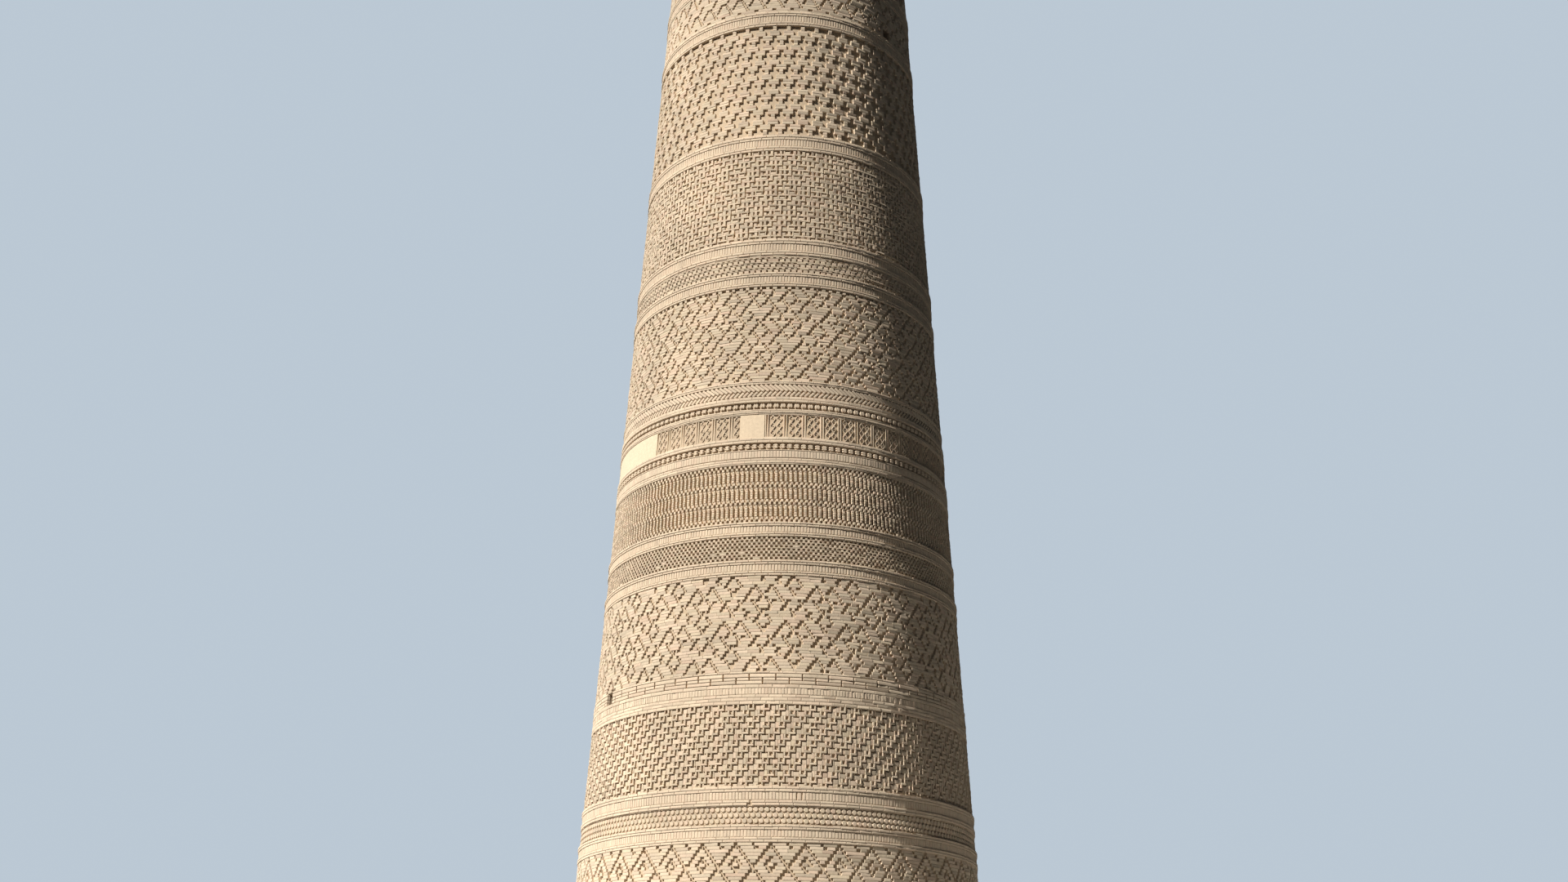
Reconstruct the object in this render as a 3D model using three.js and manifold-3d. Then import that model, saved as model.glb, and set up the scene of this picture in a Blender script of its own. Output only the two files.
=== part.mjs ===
// A brick minaret at half its real size: a hollow, round, tapering shaft laid up in bands of
// patterned brick, on a ten-sided plinth, with an arcaded lantern under a stepped cornice.
// Sizes below are real metres, measured up from the ground and out from the tower's axis.
// The side that faces -Y is the front, and the doorway is at the back.

import * as THREE from "three";
import { mergeVertices } from "three/addons/utils/BufferGeometryUtils.js";
import Module from "manifold-3d";

const modelScale = 1 / 2;
const metre = 1000 * modelScale; // model millimetres in one real metre
const clearance = 0.3; // model millimetres between a patch and the wall around it

// Shaft
const groundRadius = 4.543; // of the shaft's taper, carried down to the ground
const taper = 0.0545; // radius lost in each metre of height
const hollowRadius = 1.45;
const shaftSides = 40;
const courseProjection = 0.015; // of a string course beyond the bands beside it

// Plinth and doorway
const plinthRadius = 4.95; // to the corners
const plinthSides = 10;
const plinthHeight = 1.4;
const floorThickness = 0.1;
const doorWidth = 0.95;
const doorSpring = 1.75; // above the floor, where the pointed head begins
const doorRise = 0.5;

// Light slits, turned from the front towards +X
const slitWidth = 0.26;
const lowerSlit = { turn: -61, bottom: 9.43, top: 9.66 };
const upperSlit = { turn: 50, bottom: 25.86, top: 26.12 };

// Plaster repairs in the frieze
const patchDepth = 0.04;
const patchMargin = 0.03; // of frieze left above and below a patch
const smallPatch = { from: -14, to: -6 };
const largePatch = { from: -80, to: -47 };

// Lantern
const corniceFoot = 32.1;
const lowerCorniceTop = 33.9;
const lowerCorniceReach = 3.5;
const galleryTop = 34.2;
const lanternOuter = 3.1;
const lanternInner = 2.6;
const parapetTop = 34.75;
const archSpring = 36.7;
const lanternTop = 38.0;
const archCount = 16;
const archSides = 32;
const pierHalfAngle = 4.4; // degrees of the lantern wall, each side of a pier's middle
const archWidth = 0.66;
const archRise = 0.62;
const upperCorniceTop = 41.0;
const upperCorniceReach = 3.95;

// Roof
const rimTop = 41.4;
const rimReach = 4.02;
const coneFoot = 3.35;
const coneHead = 1.0;
const coneTop = 43.3;
const ceilingRise = 1.3;
const tipDrumTop = 44.3;
const tipRadius = 0.85;
const tipTop = 45.6;
const tipPoint = 0.12;

const wasm = await Module();
wasm.setup();

function finish(color, roughness) {
  return new THREE.MeshStandardMaterial({ color, roughness, metalness: 0 });
}

const brick = finish(0xd6bc96, 0.92);
const paleBrick = finish(0xdfc8a4, 0.92);
const plaster = finish(0xead7b8, 0.95);
const render = finish(0xcdb48f, 0.95);

const minaret = new THREE.Group();

function add(name, geometry, material) {
  const mesh = new THREE.Mesh(geometry, material);
  mesh.name = name;
  minaret.add(mesh);
  return mesh;
}

function shaftRadius(height) {
  return groundRadius - taper * height;
}

// Solids for cutting

function solidOf(geometry) {
  const bare = geometry.clone();
  bare.deleteAttribute("normal");
  bare.deleteAttribute("uv");
  const merged = mergeVertices(bare, 1e-3);
  return new wasm.Manifold(new wasm.Mesh({
    numProp: 3,
    vertProperties: new Float32Array(merged.attributes.position.array),
    triVerts: new Uint32Array(merged.index.array),
  }));
}

function geometryOf(solid) {
  const mesh = solid.getMesh();
  const geometry = new THREE.BufferGeometry();
  geometry.setAttribute("position", new THREE.BufferAttribute(mesh.vertProperties, 3));
  geometry.setIndex(new THREE.BufferAttribute(mesh.triVerts, 1));
  geometry.computeVertexNormals();
  return geometry;
}

function cut(geometry, cutters) {
  let solid = solidOf(geometry);
  for (const cutter of cutters) {
    solid = solid.subtract(solidOf(cutter));
  }
  return geometryOf(solid);
}

// Shapes

// A turned form about the tower's axis. The profile is [radius, height] pairs, up the outside.
function turned(profile, sides) {
  const points = profile.map(([radius, height]) => new THREE.Vector2(radius * metre, height * metre));
  const geometry = new THREE.LatheGeometry(points, sides);
  geometry.rotateX(Math.PI / 2);
  return geometry;
}

// A closed ring of masonry around the hollow.
function ring(outside, inner, sides) {
  const bottom = outside[0][1];
  const top = outside[outside.length - 1][1];
  return turned([...outside, [inner, top], [inner, bottom], outside[0]], sides);
}

// A stretch of the shaft between two heights.
function shaftRing(bottom, top, projection = 0) {
  const outside = [
    [shaftRadius(bottom) + projection, bottom],
    [shaftRadius(top) + projection, top],
  ];
  return ring(outside, hollowRadius, shaftSides);
}

// A prism with an upright pointed outline, centred on x = 0, standing at the given height and
// running along Y between two distances from the axis.
function pointedPrism(width, bottom, spring, rise, near, far) {
  const half = width / 2;
  const outline = new THREE.Shape();
  outline.moveTo(-half, bottom);
  outline.lineTo(half, bottom);
  outline.lineTo(half, spring);
  outline.quadraticCurveTo(half * 0.92, spring + rise * 0.62, 0, spring + rise);
  outline.quadraticCurveTo(-half * 0.92, spring + rise * 0.62, -half, spring);
  outline.closePath();
  const geometry = new THREE.ExtrudeGeometry(outline, {
    depth: far - near,
    bevelEnabled: false,
    curveSegments: 4,
  });
  geometry.rotateX(Math.PI / 2);
  geometry.translate(0, far, 0);
  geometry.scale(metre, metre, metre);
  return geometry;
}

// A slit through the wall, turned from the front.
function slitCutter({ turn, bottom, top }) {
  const near = hollowRadius * 0.5;
  const far = groundRadius + 1;
  const geometry = new THREE.BoxGeometry(slitWidth, far - near, top - bottom);
  geometry.translate(0, -(near + far) / 2, (bottom + top) / 2);
  geometry.rotateZ(THREE.MathUtils.degToRad(turn));
  geometry.scale(metre, metre, metre);
  return geometry;
}

// An upright block of part of a ring, between two angles turned from the front.
function sector(inner, outer, from, to, bottom, top, steps) {
  const start = THREE.MathUtils.degToRad(from - 90);
  const end = THREE.MathUtils.degToRad(to - 90);
  const outline = new THREE.Shape();
  outline.absarc(0, 0, outer * metre, start, end, false);
  outline.absarc(0, 0, inner * metre, end, start, true);
  outline.closePath();
  const geometry = new THREE.ExtrudeGeometry(outline, {
    depth: (top - bottom) * metre,
    bevelEnabled: false,
    curveSegments: steps,
  });
  geometry.translate(0, 0, bottom * metre);
  return geometry;
}

// Plinth: a ten-sided block with a round well in it, a floor, and the doorway's lower part

const doorFloor = floorThickness;
const doorway = pointedPrism(
  doorWidth, doorFloor, doorFloor + doorSpring, doorRise, hollowRadius * 0.5, plinthRadius + 1);

function plinthGeometry() {
  const block = turned([
    [0, 0],
    [plinthRadius, 0],
    [plinthRadius, plinthHeight],
    [0, plinthHeight],
  ], plinthSides);
  block.rotateZ(Math.PI / 2);
  const well = turned([
    [0, floorThickness],
    [hollowRadius, floorThickness],
    [hollowRadius, plinthHeight + 1],
    [0, plinthHeight + 1],
  ], shaftSides);
  return cut(block, [well, doorway]);
}

add("plinth", plinthGeometry(), render);

// Shaft: rings of patterned brick and the string courses between them, from the plinth up.
// Each entry gives the height of the ring's top.

const courses = [
  ["base_drum", 3.9, brick],
  ["string_course_1", 4.3, paleBrick],
  ["lozenge_band", 6.34, brick],
  ["string_course_2", 6.67, paleBrick],
  ["scale_band", 7.03, brick],
  ["string_course_3", 7.4, paleBrick],
  ["hooked_band", 9.01, brick],
  ["key_course", 9.67, paleBrick],
  ["stepped_band", 11.67, brick],
  ["string_course_4", 12.0, paleBrick],
  ["dotted_band_lower", 12.51, brick],
  ["string_course_5", 12.83, paleBrick],
  ["reeded_band", 14.12, brick],
  ["bead_course", 14.72, paleBrick],
  ["strapwork_frieze", 15.27, brick],
  ["herringbone_course", 16.05, paleBrick],
  ["interlace_band", 18.35, brick],
  ["string_course_6", 18.7, paleBrick],
  ["dotted_band_upper", 19.14, brick],
  ["string_course_7", 19.54, paleBrick],
  ["maze_band", 21.88, brick],
  ["string_course_8", 22.29, paleBrick],
  ["knotted_band", 25.39, brick],
  ["string_course_9", 25.78, paleBrick],
  ["diagonal_band", 26.95, brick],
  ["string_course_10", 27.35, paleBrick],
  ["medallion_band", 30.3, brick],
  ["string_course_11", 30.7, paleBrick],
  ["upper_frieze", corniceFoot, brick],
];

function patchSolid({ from, to }, bottom, top, depth, gap) {
  const face = shaftRadius((bottom + top) / 2);
  const side = THREE.MathUtils.radToDeg(gap / (face * metre));
  return sector(
    face - depth - gap / metre,
    face + 2 * gap / metre,
    from - side,
    to + side,
    bottom + patchMargin - gap / metre,
    top - patchMargin + gap / metre,
    Math.ceil((to - from) / 8));
}

let bottom = plinthHeight;
for (const [name, top, material] of courses) {
  const isBand = material === brick;
  let geometry = shaftRing(bottom, top, isBand ? 0 : courseProjection);
  if (name === "base_drum") {
    geometry = cut(geometry, [doorway]);
  }
  if (name === "key_course") {
    geometry = cut(geometry, [slitCutter(lowerSlit)]);
  }
  if (name === "diagonal_band") {
    geometry = cut(geometry, [slitCutter(upperSlit)]);
  }
  if (name === "strapwork_frieze") {
    const pocket = patchDepth;
    geometry = cut(geometry, [
      patchSolid(smallPatch, bottom, top, pocket, clearance),
      patchSolid(largePatch, bottom, top, pocket, clearance),
    ]);
    add("plaster_patch_small", patchSolid(smallPatch, bottom, top, pocket, 0), plaster);
    add("plaster_patch_large", patchSolid(largePatch, bottom, top, pocket, 0), plaster);
  }
  add(name, geometry, material);
  bottom = top;
}

// Cornices: rings that step outwards, tier over tier

function cornice(foot, top, inner, start, reach, tiers) {
  const outside = [];
  const rise = (top - foot) / tiers;
  const step = (reach - start) / tiers;
  for (let tier = 0; tier < tiers; tier += 1) {
    const low = foot + tier * rise;
    outside.push([start + tier * step, low]);
    outside.push([start + (tier + 1) * step, low + rise * 0.7]);
  }
  outside.push([reach, top]);
  return ring(outside, inner, shaftSides);
}

const neck = shaftRadius(corniceFoot);
add(
  "lower_cornice",
  cornice(corniceFoot, lowerCorniceTop, hollowRadius, neck, lowerCorniceReach, 3),
  paleBrick);

const galleryEdge = lowerCorniceReach + 0.05;
add(
  "gallery_floor",
  ring([[galleryEdge, lowerCorniceTop], [galleryEdge, galleryTop]], hollowRadius, shaftSides),
  paleBrick);

// Lantern: a low parapet, piers standing on it, and the ring of pointed arches they carry

add(
  "lantern_parapet",
  ring([[lanternOuter, galleryTop], [lanternOuter, parapetTop]], lanternInner, archSides),
  brick);

const bay = 360 / archCount;
for (let index = 0; index < archCount; index += 1) {
  const middle = (index + 0.5) * bay;
  const number = String(index + 1).padStart(2, "0");
  add(
    `lantern_pier_${number}`,
    sector(
      lanternInner,
      lanternOuter,
      middle - pierHalfAngle,
      middle + pierHalfAngle,
      parapetTop,
      archSpring,
      1),
    brick);
}

function archRing() {
  const wall = ring([[lanternOuter, archSpring], [lanternOuter, lanternTop]], lanternInner, archSides);
  const through = lanternOuter + 0.5;
  const below = 0.2;
  const cutters = [];
  for (let index = 0; index < archCount / 2; index += 1) {
    const opening = pointedPrism(archWidth, archSpring - below, archSpring, archRise, -through, through);
    opening.rotateZ(THREE.MathUtils.degToRad(index * bay));
    cutters.push(opening);
  }
  return cut(wall, cutters);
}

add("lantern_arches", archRing(), brick);

add(
  "upper_cornice",
  cornice(lanternTop, upperCorniceTop, lanternInner, lanternOuter + 0.04, upperCorniceReach, 4),
  paleBrick);

add(
  "cornice_rim",
  ring([[rimReach, upperCorniceTop], [rimReach, rimTop]], lanternInner, shaftSides),
  paleBrick);

// Roof: a low cone over a shallow domed ceiling, with a short pointed drum on its head

function roofProfile() {
  const profile = [];
  const ceilingSteps = 5;
  for (let step = 0; step <= ceilingSteps; step += 1) {
    const turn = (step / ceilingSteps) * Math.PI / 2;
    const radius = step === 0 ? 0 : lanternInner * Math.sin(turn);
    profile.push([radius, rimTop + ceilingRise * Math.cos(turn)]);
  }
  profile.push([coneFoot, rimTop]);
  profile.push([coneHead, coneTop]);
  profile.push([0, coneTop]);
  return profile;
}

add("roof_cone", turned(roofProfile(), shaftSides), render);

add("roof_tip", turned([
  [0, coneTop],
  [tipRadius, coneTop],
  [tipRadius, tipDrumTop],
  [tipPoint, tipTop],
  [0, tipTop],
], 20), render);

export default minaret;
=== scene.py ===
import math

import bmesh
import bpy
import numpy as np
from mathutils import Matrix, Vector


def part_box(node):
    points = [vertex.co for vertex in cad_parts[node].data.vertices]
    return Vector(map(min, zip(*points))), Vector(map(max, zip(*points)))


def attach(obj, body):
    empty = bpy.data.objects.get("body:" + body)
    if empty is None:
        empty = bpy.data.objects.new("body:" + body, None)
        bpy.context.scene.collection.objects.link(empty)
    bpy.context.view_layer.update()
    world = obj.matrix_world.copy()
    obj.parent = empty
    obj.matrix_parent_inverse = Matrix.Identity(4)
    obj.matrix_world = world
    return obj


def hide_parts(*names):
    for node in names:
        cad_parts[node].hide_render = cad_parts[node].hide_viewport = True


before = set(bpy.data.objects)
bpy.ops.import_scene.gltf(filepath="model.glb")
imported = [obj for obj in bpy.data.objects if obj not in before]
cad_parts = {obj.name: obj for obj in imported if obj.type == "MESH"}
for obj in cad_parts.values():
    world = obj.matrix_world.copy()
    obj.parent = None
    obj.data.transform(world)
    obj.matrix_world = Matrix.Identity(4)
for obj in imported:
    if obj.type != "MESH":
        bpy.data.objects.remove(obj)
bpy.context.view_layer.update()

eye = Vector((0.0, -18.305, 0.85))
lens = 38.81
pitch, roll, yaw = math.radians(21.5), math.radians(0.7), math.radians(0.043)

camera_data = bpy.data.cameras.new("camera")
camera_data.lens = lens
camera_data.sensor_width = 36
camera_data.clip_end = 300
camera = bpy.data.objects.new("camera", camera_data)
bpy.context.scene.collection.objects.link(camera)
tilted = Matrix.Rotation(-yaw, 4, "Z") @ Matrix.Rotation(math.pi / 2 + pitch, 4, "X")
camera.matrix_world = Matrix.Translation(eye) @ tilted @ Matrix.Rotation(roll, 4, "Z")
bpy.context.scene.camera = camera


# Light: one soft key from high on the left, where the sun stood, and an even pale surround, dim as a
# light and plain as a backdrop. The floor is a plain pale disc.
key_turn, key_height = math.radians(-50), math.radians(45)
to_key = Vector((math.sin(key_turn) * math.cos(key_height),
                 -math.cos(key_turn) * math.cos(key_height),
                 math.sin(key_height)))
key_data = bpy.data.lights.new("key", "SUN")
key_data.energy = 7.4
key_data.angle = math.radians(4.0)
key_data.color = (1.0, 0.968, 0.918)
key = bpy.data.objects.new("key", key_data)
key.rotation_euler = to_key.to_track_quat("Z", "Y").to_euler()
bpy.context.scene.collection.objects.link(key)

surround = bpy.data.worlds.new("surround")
surround.use_nodes = True
surround_nodes = surround.node_tree.nodes
surround_links = surround.node_tree.links
fill = surround_nodes["Background"]
fill.inputs["Color"].default_value = (0.86, 0.93, 1.0, 1)
fill.inputs["Strength"].default_value = 0.045
backdrop = surround_nodes.new("ShaderNodeBackground")
backdrop.inputs["Color"].default_value = (0.50, 0.58, 0.66, 1)
seen = surround_nodes.new("ShaderNodeLightPath")
either = surround_nodes.new("ShaderNodeMixShader")
surround_links.new(seen.outputs["Is Camera Ray"], either.inputs[0])
surround_links.new(fill.outputs[0], either.inputs[1])
surround_links.new(backdrop.outputs[0], either.inputs[2])
surround_links.new(either.outputs[0], surround_nodes["World Output"].inputs["Surface"])
bpy.context.scene.world = surround
bpy.context.scene.view_settings.view_transform = "Standard"


def as_object(name, shape, material=None):
    """Puts a bmesh into the scene as an object, and drops the bmesh."""
    mesh = bpy.data.meshes.new(name)
    shape.to_mesh(mesh)
    shape.free()
    if material:
        mesh.materials.append(material)
    made = bpy.data.objects.new(name, mesh)
    bpy.context.scene.collection.objects.link(made)
    return made


floor_paint = bpy.data.materials.new("pale_floor")
floor_paint.use_nodes = True
floor_shader = floor_paint.node_tree.nodes["Principled BSDF"]
floor_shader.inputs["Base Color"].default_value = (0.50, 0.48, 0.45, 1)
floor_shader.inputs["Roughness"].default_value = 1.0
floor_shader.inputs["Specular IOR Level"].default_value = 0.0
floor_disc = bmesh.new()
bmesh.ops.create_circle(floor_disc, cap_ends=True, segments=96, radius=7.5)
floor = as_object("floor", floor_disc, floor_paint)


# Plinth: a low ten-sided block of brick and earth mortar under the round shaft. Its sides are faced
# with level courses of bricks, about 65 mm high and 265 mm long at full size, bedded in the block. Its
# top and the sides of its doorway are rendered smooth.
def add_node(tree, kind, inputs=None, **settings):
    """Adds a node to a tree. Inputs are values, sockets, or nodes whose first output feeds them."""
    node = tree.nodes.new(kind)
    for name, value in settings.items():
        setattr(node, name, value)
    for key, value in (inputs or {}).items():
        if isinstance(value, bpy.types.Node):
            value = value.outputs[0]
        if isinstance(value, bpy.types.NodeSocket):
            tree.links.new(value, node.inputs[key])
        else:
            node.inputs[key].default_value = value
    return node


def reckon(tree, operation, *terms):
    return add_node(tree, "ShaderNodeMath", dict(enumerate(terms)), operation=operation)


def map_range(tree, value, low, high, new_low, new_high):
    return add_node(tree, "ShaderNodeMapRange", {
        "Value": value, "From Min": low, "From Max": high, "To Min": new_low, "To Max": new_high})


def noise(tree, place, scale, detail, roughness):
    return add_node(tree, "ShaderNodeTexNoise", {
        "Vector": place, "Scale": scale, "Detail": detail, "Roughness": roughness})


def point_value(tree, name, kind="FLOAT_VECTOR"):
    """Reads one of the values that come with each point."""
    return add_node(tree, "GeometryNodeInputNamedAttribute", {"Name": name}, data_type=kind)


def tree_with(name, **extra):
    """A new Geometry Nodes tree with named inputs, and the sockets that bring them in."""
    tree = bpy.data.node_groups.new(name, "GeometryNodeTree")
    for label, kind in {"Geometry": "Geometry", "Seed": "Int", "Material": "Material", **extra}.items():
        tree.interface.new_socket(label, in_out="INPUT", socket_type="NodeSocket" + kind)
    tree.interface.new_socket("Geometry", in_out="OUTPUT", socket_type="NodeSocketGeometry")
    return tree, tree.nodes.new("NodeGroupInput").outputs


def on_points(tree, given, shape):
    """Sets a copy of a unit shape on each point, at the point's turn and size, and returns the turn too."""
    rotation = add_node(tree, "FunctionNodeEulerToRotation", {"Euler": point_value(tree, "turned")})
    placed = add_node(tree, "GeometryNodeInstanceOnPoints", {
        "Points": given["Geometry"], "Instance": shape, "Rotation": rotation,
        "Scale": point_value(tree, "size")})
    return placed, rotation


def finish_tree(tree, given, made, offset=None):
    """Makes the instances real, moves their corners, and gives them their finish."""
    made = add_node(tree, "GeometryNodeRealizeInstances", {"Geometry": made})
    if offset:
        made = add_node(tree, "GeometryNodeSetPosition", {"Geometry": made, "Offset": offset})
    for name in ("turned", "number"):
        made = add_node(tree, "GeometryNodeRemoveAttribute", {"Geometry": made, "Name": name})
    made = add_node(tree, "GeometryNodeSetMaterial", {"Geometry": made, "Material": given["Material"]})
    add_node(tree, "NodeGroupOutput", {0: made})
    return tree


def dice(tree, given, shift):
    """A chance value from -1 to 1 for each brick, another one for each whole shift of the seed."""
    return add_node(tree, "FunctionNodeRandomValue", {
        2: -1.0, 3: 1.0, "ID": point_value(tree, "number", "INT"),
        "Seed": reckon(tree, "ADD", given["Seed"], float(shift))}, data_type="FLOAT").outputs[1]


def laying_tree():
    """Lays one brick on each point, pushed and turned a little by chance, its front edges drawn in."""
    tree, given = tree_with("laid_bricks", Joint="Float", Unevenness="Float")
    block = add_node(tree, "GeometryNodeStoreNamedAttribute", {
        "Geometry": add_node(tree, "GeometryNodeMeshCube", {"Size": (1, 1, 1)}), "Name": "corner",
        "Value": add_node(tree, "GeometryNodeInputPosition")}, data_type="FLOAT_VECTOR", domain="POINT")
    placed, rotation = on_points(tree, given, block)
    corner = add_node(tree, "ShaderNodeSeparateXYZ", {0: point_value(tree, "corner")}).outputs
    front = reckon(tree, "SUBTRACT", 0.5, corner["Y"])
    drawn = reckon(tree, "MULTIPLY", reckon(tree, "MULTIPLY", given["Joint"], -2.0), front)
    pushed = dice(tree, given, 0)
    for axis, shift in (("X", 1), ("Z", 2)):
        skew = reckon(tree, "MULTIPLY", corner[axis], 2.0)
        pushed = reckon(tree, "MULTIPLY_ADD", skew, dice(tree, given, shift), pushed)
    pushed = reckon(tree, "MULTIPLY", reckon(tree, "MULTIPLY", pushed, given["Unevenness"]), front)
    moved = add_node(tree, "ShaderNodeCombineXYZ", {
        "X": reckon(tree, "MULTIPLY", corner["X"], drawn), "Y": pushed,
        "Z": reckon(tree, "MULTIPLY", corner["Z"], drawn)})
    moved = add_node(tree, "FunctionNodeRotateVector", {"Vector": moved, "Rotation": rotation})
    return finish_tree(tree, given, placed, moved)


laying = laying_tree()
joint = 0.0014
brick_length = 0.132
course_height = 0.0325


def brick_at(turn, face, height, wide, deep, tall, lean=0.0, aside=0.0):
    """The place, lean, turn and size of a brick whose front stands at a distance from the axis.

    Turns run from the front to the right, and aside is how far along its face the brick is moved."""
    out = face - deep / 2
    return (out * math.sin(turn) + aside * math.cos(turn), aside * math.sin(turn) - out * math.cos(turn),
            height, lean, turn, wide, deep, tall)


def baked(piece):
    """Takes a piece's modifiers into its mesh."""
    evaluated = piece.evaluated_get(bpy.context.evaluated_depsgraph_get())
    mesh = bpy.data.meshes.new_from_object(evaluated)
    piece.modifiers.clear()
    piece.data = mesh
    return piece


def grown(name, tree, points, material, seed, **inputs):
    """Runs a tree on a list of what brick_at() gives, and keeps a plain mesh."""
    table = np.array(points, float)
    guide = bpy.data.meshes.new(name)
    guide.from_pydata(table[:, :3].tolist(), [], [])
    turned = np.zeros((len(table), 3))
    turned[:, 1:] = table[:, 3:5]
    tones = np.random.default_rng(seed).random(len(table))
    for label, kind, field, column in (
            ("turned", "FLOAT_VECTOR", "vector", turned), ("size", "FLOAT_VECTOR", "vector", table[:, 5:]),
            ("number", "INT", "value", np.arange(len(table))), ("tone", "FLOAT", "value", tones)):
        guide.attributes.new(label, kind, "POINT").data.foreach_set(field, column.ravel())
    piece = bpy.data.objects.new(name, guide)
    bpy.context.scene.collection.objects.link(piece)
    modifier = piece.modifiers.new("laid", "NODES")
    modifier.node_group = tree
    inputs.update({"Material": material, "Seed": seed})
    for item in tree.interface.items_tree:
        if item.in_out == "INPUT" and item.name in inputs:
            modifier[item.identifier] = inputs[item.name]
    baked(piece).data.name = name
    return piece


def laid(name, bricks, material, seed, unevenness=0.0020, gap=joint):
    """A run of laid bricks as one plain mesh."""
    return grown(name, laying, bricks, material, seed, Joint=gap, Unevenness=unevenness)


def skin(name, node, bricks, material, behind, slot="brick", **laying_values):
    """Laid bricks over a solid that stays in sight behind them, in a plainer finish."""
    piece = laid(name, bricks, material, **laying_values)
    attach(piece, "root")
    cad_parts[node].data.materials[0] = behind


def masonry(name, tones, grain=0.0016, stain=0.16, wear=0.0007):
    """Fired brick in lime mortar: a tone to each brick, faces darker the more they face upward, worn edges
    and a gritty face.
    """
    material = bpy.data.materials.new(name)
    material.use_nodes = True
    tree = material.node_tree
    shader = tree.nodes["Principled BSDF"]
    shader.inputs["Roughness"].default_value = 0.93
    shader.inputs["Diffuse Roughness"].default_value = 0.4
    shader.inputs["Specular IOR Level"].default_value = 0.18
    place = add_node(tree, "ShaderNodeTexCoord").outputs["Object"]
    tone = add_node(tree, "ShaderNodeAttribute", attribute_name="tone").outputs["Fac"]
    ramp = add_node(tree, "ShaderNodeValToRGB", {"Fac": tone})
    while len(ramp.color_ramp.elements) < len(tones):
        ramp.color_ramp.elements.new(0.5)
    for index, colour in enumerate(tones):
        ramp.color_ramp.elements[index].position = index / (len(tones) - 1)
        ramp.color_ramp.elements[index].color = (*colour, 1)
    weather = map_range(tree, noise(tree, place, 0.9, 5.0, 0.62), 0.32, 0.68, 1 - stain, 1 + stain * 0.4)
    speckle = map_range(tree, noise(tree, place, 34.0, 6.0, 0.7), 0.3, 0.7, 0.88, 1.07)
    height = add_node(tree, "ShaderNodeSeparateXYZ", {0: place}).outputs["Z"]
    # The brick is made a little paler higher up the tower.
    paler_higher_up = map_range(tree, height, 3.0, 13.0, 0.97, 0.99)
    # Faces are made darker the more they face upward.
    normal = add_node(tree, "ShaderNodeNewGeometry").outputs["True Normal"]
    upward = add_node(tree, "ShaderNodeSeparateXYZ", {0: normal}).outputs["Z"]
    darker_upward = map_range(tree, upward, 0.1, 0.9, 1.0, 0.56)
    shade = weather
    for part in (speckle, paler_higher_up, darker_upward):
        shade = reckon(tree, "MULTIPLY", shade, part)
    dyed = add_node(tree, "ShaderNodeVectorMath", {0: ramp, "Scale": shade}, operation="SCALE")
    tree.links.new(dyed.outputs[0], shader.inputs["Base Color"])
    corner = add_node(tree, "ShaderNodeAttribute", attribute_name="corner").outputs["Vector"]
    size = add_node(tree, "ShaderNodeAttribute", attribute_name="size").outputs["Vector"]
    to_edge = add_node(tree, "ShaderNodeVectorMath", {0: corner}, operation="ABSOLUTE")
    to_edge = add_node(tree, "ShaderNodeVectorMath", {0: (0.5, 0.5, 0.5), 1: to_edge}, operation="SUBTRACT")
    to_edge = add_node(tree, "ShaderNodeVectorMath", {0: to_edge, 1: size}, operation="MULTIPLY")
    to_edge = add_node(tree, "ShaderNodeSeparateXYZ", {0: to_edge}).outputs
    worn = map_range(tree, reckon(tree, "MINIMUM", to_edge["X"], to_edge["Z"]), 0.0, 0.007, 0.0, 1.0)
    worn.interpolation_type = "SMOOTHSTEP"
    rounded = add_node(tree, "ShaderNodeBump", {"Height": worn, "Distance": wear, "Strength": 1.0})
    bump = add_node(tree, "ShaderNodeBump", {
        "Height": noise(tree, place, 90.0, 5.0, 0.65), "Distance": grain, "Strength": 0.55,
        "Normal": rounded})
    tree.links.new(bump.outputs["Normal"], shader.inputs["Normal"])
    return material


wall_brick = masonry("wall_brick", [
    (0.64, 0.515, 0.385), (0.69, 0.58, 0.435), (0.735, 0.61, 0.44), (0.755, 0.60, 0.455),
    (0.78, 0.65, 0.485), (0.72, 0.55, 0.41)])
pale_brick = masonry("pale_brick", [
    (0.69, 0.56, 0.42), (0.77, 0.64, 0.475), (0.75, 0.595, 0.445), (0.80, 0.665, 0.495)],
    stain=0.12, wear=0.0018)
mud_render = masonry("mud_render", [(0.63, 0.48, 0.325), (0.66, 0.505, 0.345)], grain=0.004, stain=0.22)

plinth_sides = 10
plinth_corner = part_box("plinth")[1]
side_width = 2 * plinth_corner.y * math.tan(math.pi / plinth_sides)
facing_proud, facing_depth = 0.006, 0.014
door_half = 0.2375
door_floor = 0.05


def flat_side_bricks(turn, is_door_side):
    """Courses of bricks over one flat side of the plinth."""
    found = []
    courses = round(plinth_corner.z / course_height)
    high = plinth_corner.z / courses
    per_course = round(side_width / brick_length)
    long = side_width / per_course
    for course in range(courses):
        start = -side_width / 2 - (long / 2 if course % 2 else 0)
        level = (course + 0.5) * high
        for index in range(per_course + course % 2):
            left = max(start + index * long, -side_width / 2)
            right = min(start + (index + 1) * long, side_width / 2)
            if is_door_side and level > door_floor and left < door_half and right > -door_half:
                if left < -door_half:
                    right = -door_half
                elif right > door_half:
                    left = door_half
                else:
                    continue
            found.append(brick_at(turn, plinth_corner.y + facing_proud, level, right - left,
                                  facing_depth, high, aside=(left + right) / 2))
    return found


plinth_bricks = []
for side in range(plinth_sides):
    plinth_bricks += flat_side_bricks(2 * math.pi * side / plinth_sides, side == plinth_sides // 2)
skin("plinth_facing", "plinth", plinth_bricks, wall_brick, mud_render, "render", seed=3, unevenness=0.0015)
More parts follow.
